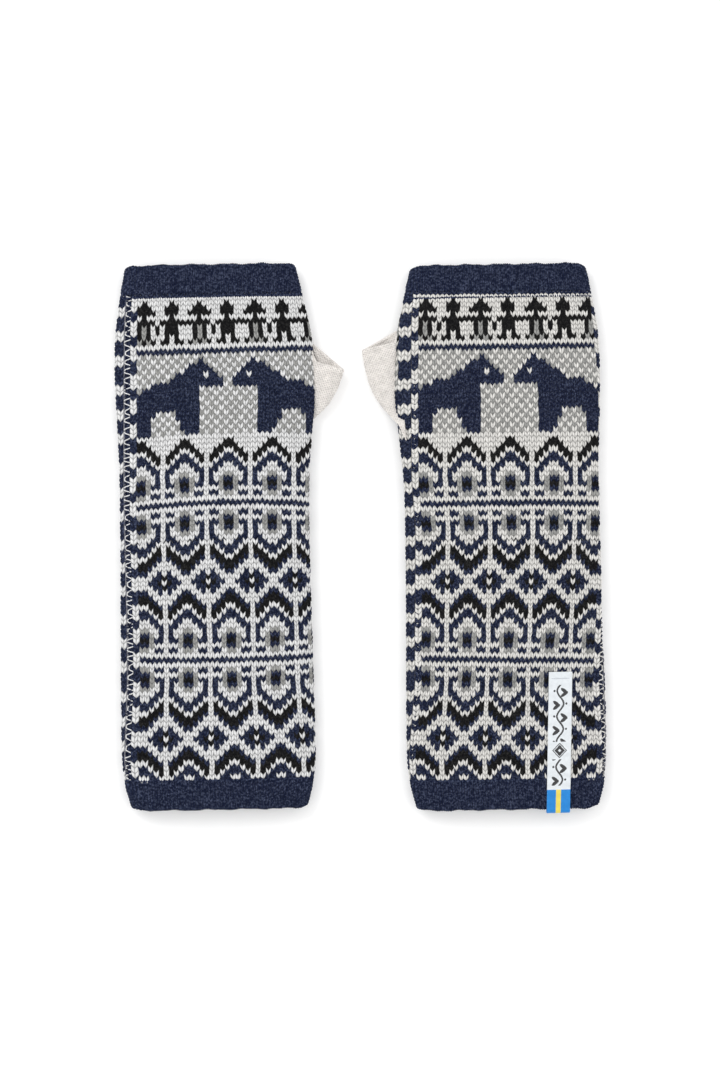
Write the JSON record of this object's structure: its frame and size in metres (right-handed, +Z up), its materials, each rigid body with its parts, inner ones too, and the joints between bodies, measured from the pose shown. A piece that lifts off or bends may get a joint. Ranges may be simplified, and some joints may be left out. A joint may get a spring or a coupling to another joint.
{
  "type": "knitted mittens",
  "caption": "Pair of long fingerless mittens in four-colour stranded knitting, with folded hems, a short thumb on each and a woven label.",
  "frame": {"origin": "middle of the pair's box, on the table it lies on", "axes": "+Y towards the finger ends, +Z up from the table, +X from the left-lying mitten to the right-lying one"},
  "size_m": [0.2443, 0.2716, 0.0142],
  "materials": {
    "pattern_wool": "matte",
    "navy_wool": "matte",
    "seam_wool": "matte",
    "cream_wool": "matte",
    "label_satin": "satin",
    "sewing_thread": "satin"
  },
  "bodies": {
    "left_mitten": {"left_front_panel": "pattern_wool", "left_back_panel": "pattern_wool", "left_outer_seam": "seam_wool", "left_inner_seam_low": "seam_wool", "left_inner_seam_high": "seam_wool", "left_finger_hem": "navy_wool", "left_wrist_hem": "navy_wool", "left_finger_linking": "navy_wool", "left_wrist_linking": "navy_wool", "left_thumb_linking": "cream_wool"},
    "left_thumb": {"left_thumb_tube": "cream_wool", "left_thumb_hem": "cream_wool"},
    "right_mitten": {"right_front_panel": "pattern_wool", "right_back_panel": "pattern_wool", "right_outer_seam": "seam_wool", "right_inner_seam_low": "seam_wool", "right_inner_seam_high": "seam_wool", "right_finger_hem": "navy_wool", "right_wrist_hem": "navy_wool", "right_finger_linking": "navy_wool", "right_wrist_linking": "navy_wool", "right_thumb_linking": "cream_wool", "woven_label": "label_satin", "label_stitches": "sewing_thread"},
    "right_thumb": {"right_thumb_tube": "cream_wool", "right_thumb_hem": "cream_wool"}
  },
  "joints": [
    {"name": "left_thumb_fold", "type": "hinge", "parent": "left_mitten", "child": "left_thumb", "pos_m": [-0.02345, 0.07691, 0.0062], "axis": [0.0183, -0.9998, 0], "range_deg": [-30, 50]},
    {"name": "pair_lift", "type": "slide", "parent": "left_mitten", "child": "right_mitten", "axis": [0, 0, 1], "range_m": [0, 0.12]},
    {"name": "right_thumb_fold", "type": "hinge", "parent": "right_mitten", "child": "right_thumb", "pos_m": [0.01738, 0.07504, 0.0062], "axis": [-0.0183, 0.9998, 0], "range_deg": [-30, 50]}
  ]
}
